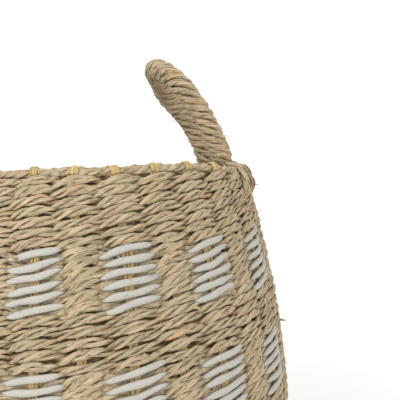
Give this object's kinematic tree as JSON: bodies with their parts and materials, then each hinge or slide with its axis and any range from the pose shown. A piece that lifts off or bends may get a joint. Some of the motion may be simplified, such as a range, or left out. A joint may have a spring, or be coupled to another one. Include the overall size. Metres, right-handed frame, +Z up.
{
  "type": "seagrass storage basket",
  "caption": "Round-bellied twined seagrass storage basket with bands of smooth white cord blocks, a bound rim and two rope loop handles that bend at the rim.",
  "frame": {"origin": "centre of the flat underside, on the surface the basket stands on", "axes": "+Z up through the mouth; the rope handles are at +X and -X; +Y is horizontal, square to the handles"},
  "size_m": [0.434, 0.434, 0.5348],
  "materials": {
    "stake_straw": "dry yellow palm straw, matte with a faint natural sheen",
    "seagrass": "dry twisted seagrass cord, matte, beige with green and orange leaves",
    "seagrass_inner": "dry twisted seagrass cord seen from inside, matte",
    "white_cord": "smooth off-white twisted paper cord, matte",
    "rope_core": "bundle of dry seagrass strands, matte",
    "rope_wrap": "coiled dry seagrass strands, matte"
  },
  "bodies": {
    "basket": {"stakes": "stake_straw", "rim_cord": "seagrass", "rim_loops": "stake_straw", "front_upper": "seagrass", "back_upper": "seagrass_inner", "front_band_1": "seagrass", "back_band_1": "seagrass_inner", "white_band_1": "white_cord", "front_middle_1": "seagrass", "back_middle_1": "seagrass_inner", "front_band_2": "seagrass", "back_band_2": "seagrass_inner", "white_band_2": "white_cord", "front_middle_2": "seagrass", "back_middle_2": "seagrass_inner", "front_band_3": "seagrass", "back_band_3": "seagrass_inner", "white_band_3": "white_cord", "front_lower": "seagrass", "back_lower": "seagrass_inner", "base_corner_outer": "seagrass", "base_corner_inner": "seagrass_inner", "base_under": "seagrass", "base_over": "seagrass_inner", "base_centre": "seagrass", "handle_right_roots": "rope_wrap", "handle_left_roots": "rope_wrap"},
    "handle_right": {"handle_right_core": "rope_core", "handle_right_wrap": "rope_wrap"},
    "handle_left": {"handle_left_core": "rope_core", "handle_left_wrap": "rope_wrap"}
  },
  "joints": [
    {"name": "handle_right_bend", "type": "hinge", "parent": "basket", "child": "handle_right", "pos_m": [0.15574, 0, 0.39895], "axis": [0, 1, 0], "range_deg": [-10, 45]},
    {"name": "handle_left_bend", "type": "hinge", "parent": "basket", "child": "handle_left", "pos_m": [-0.15574, 0, 0.39895], "axis": [0, -1, 0], "range_deg": [-36, 19]}
  ]
}
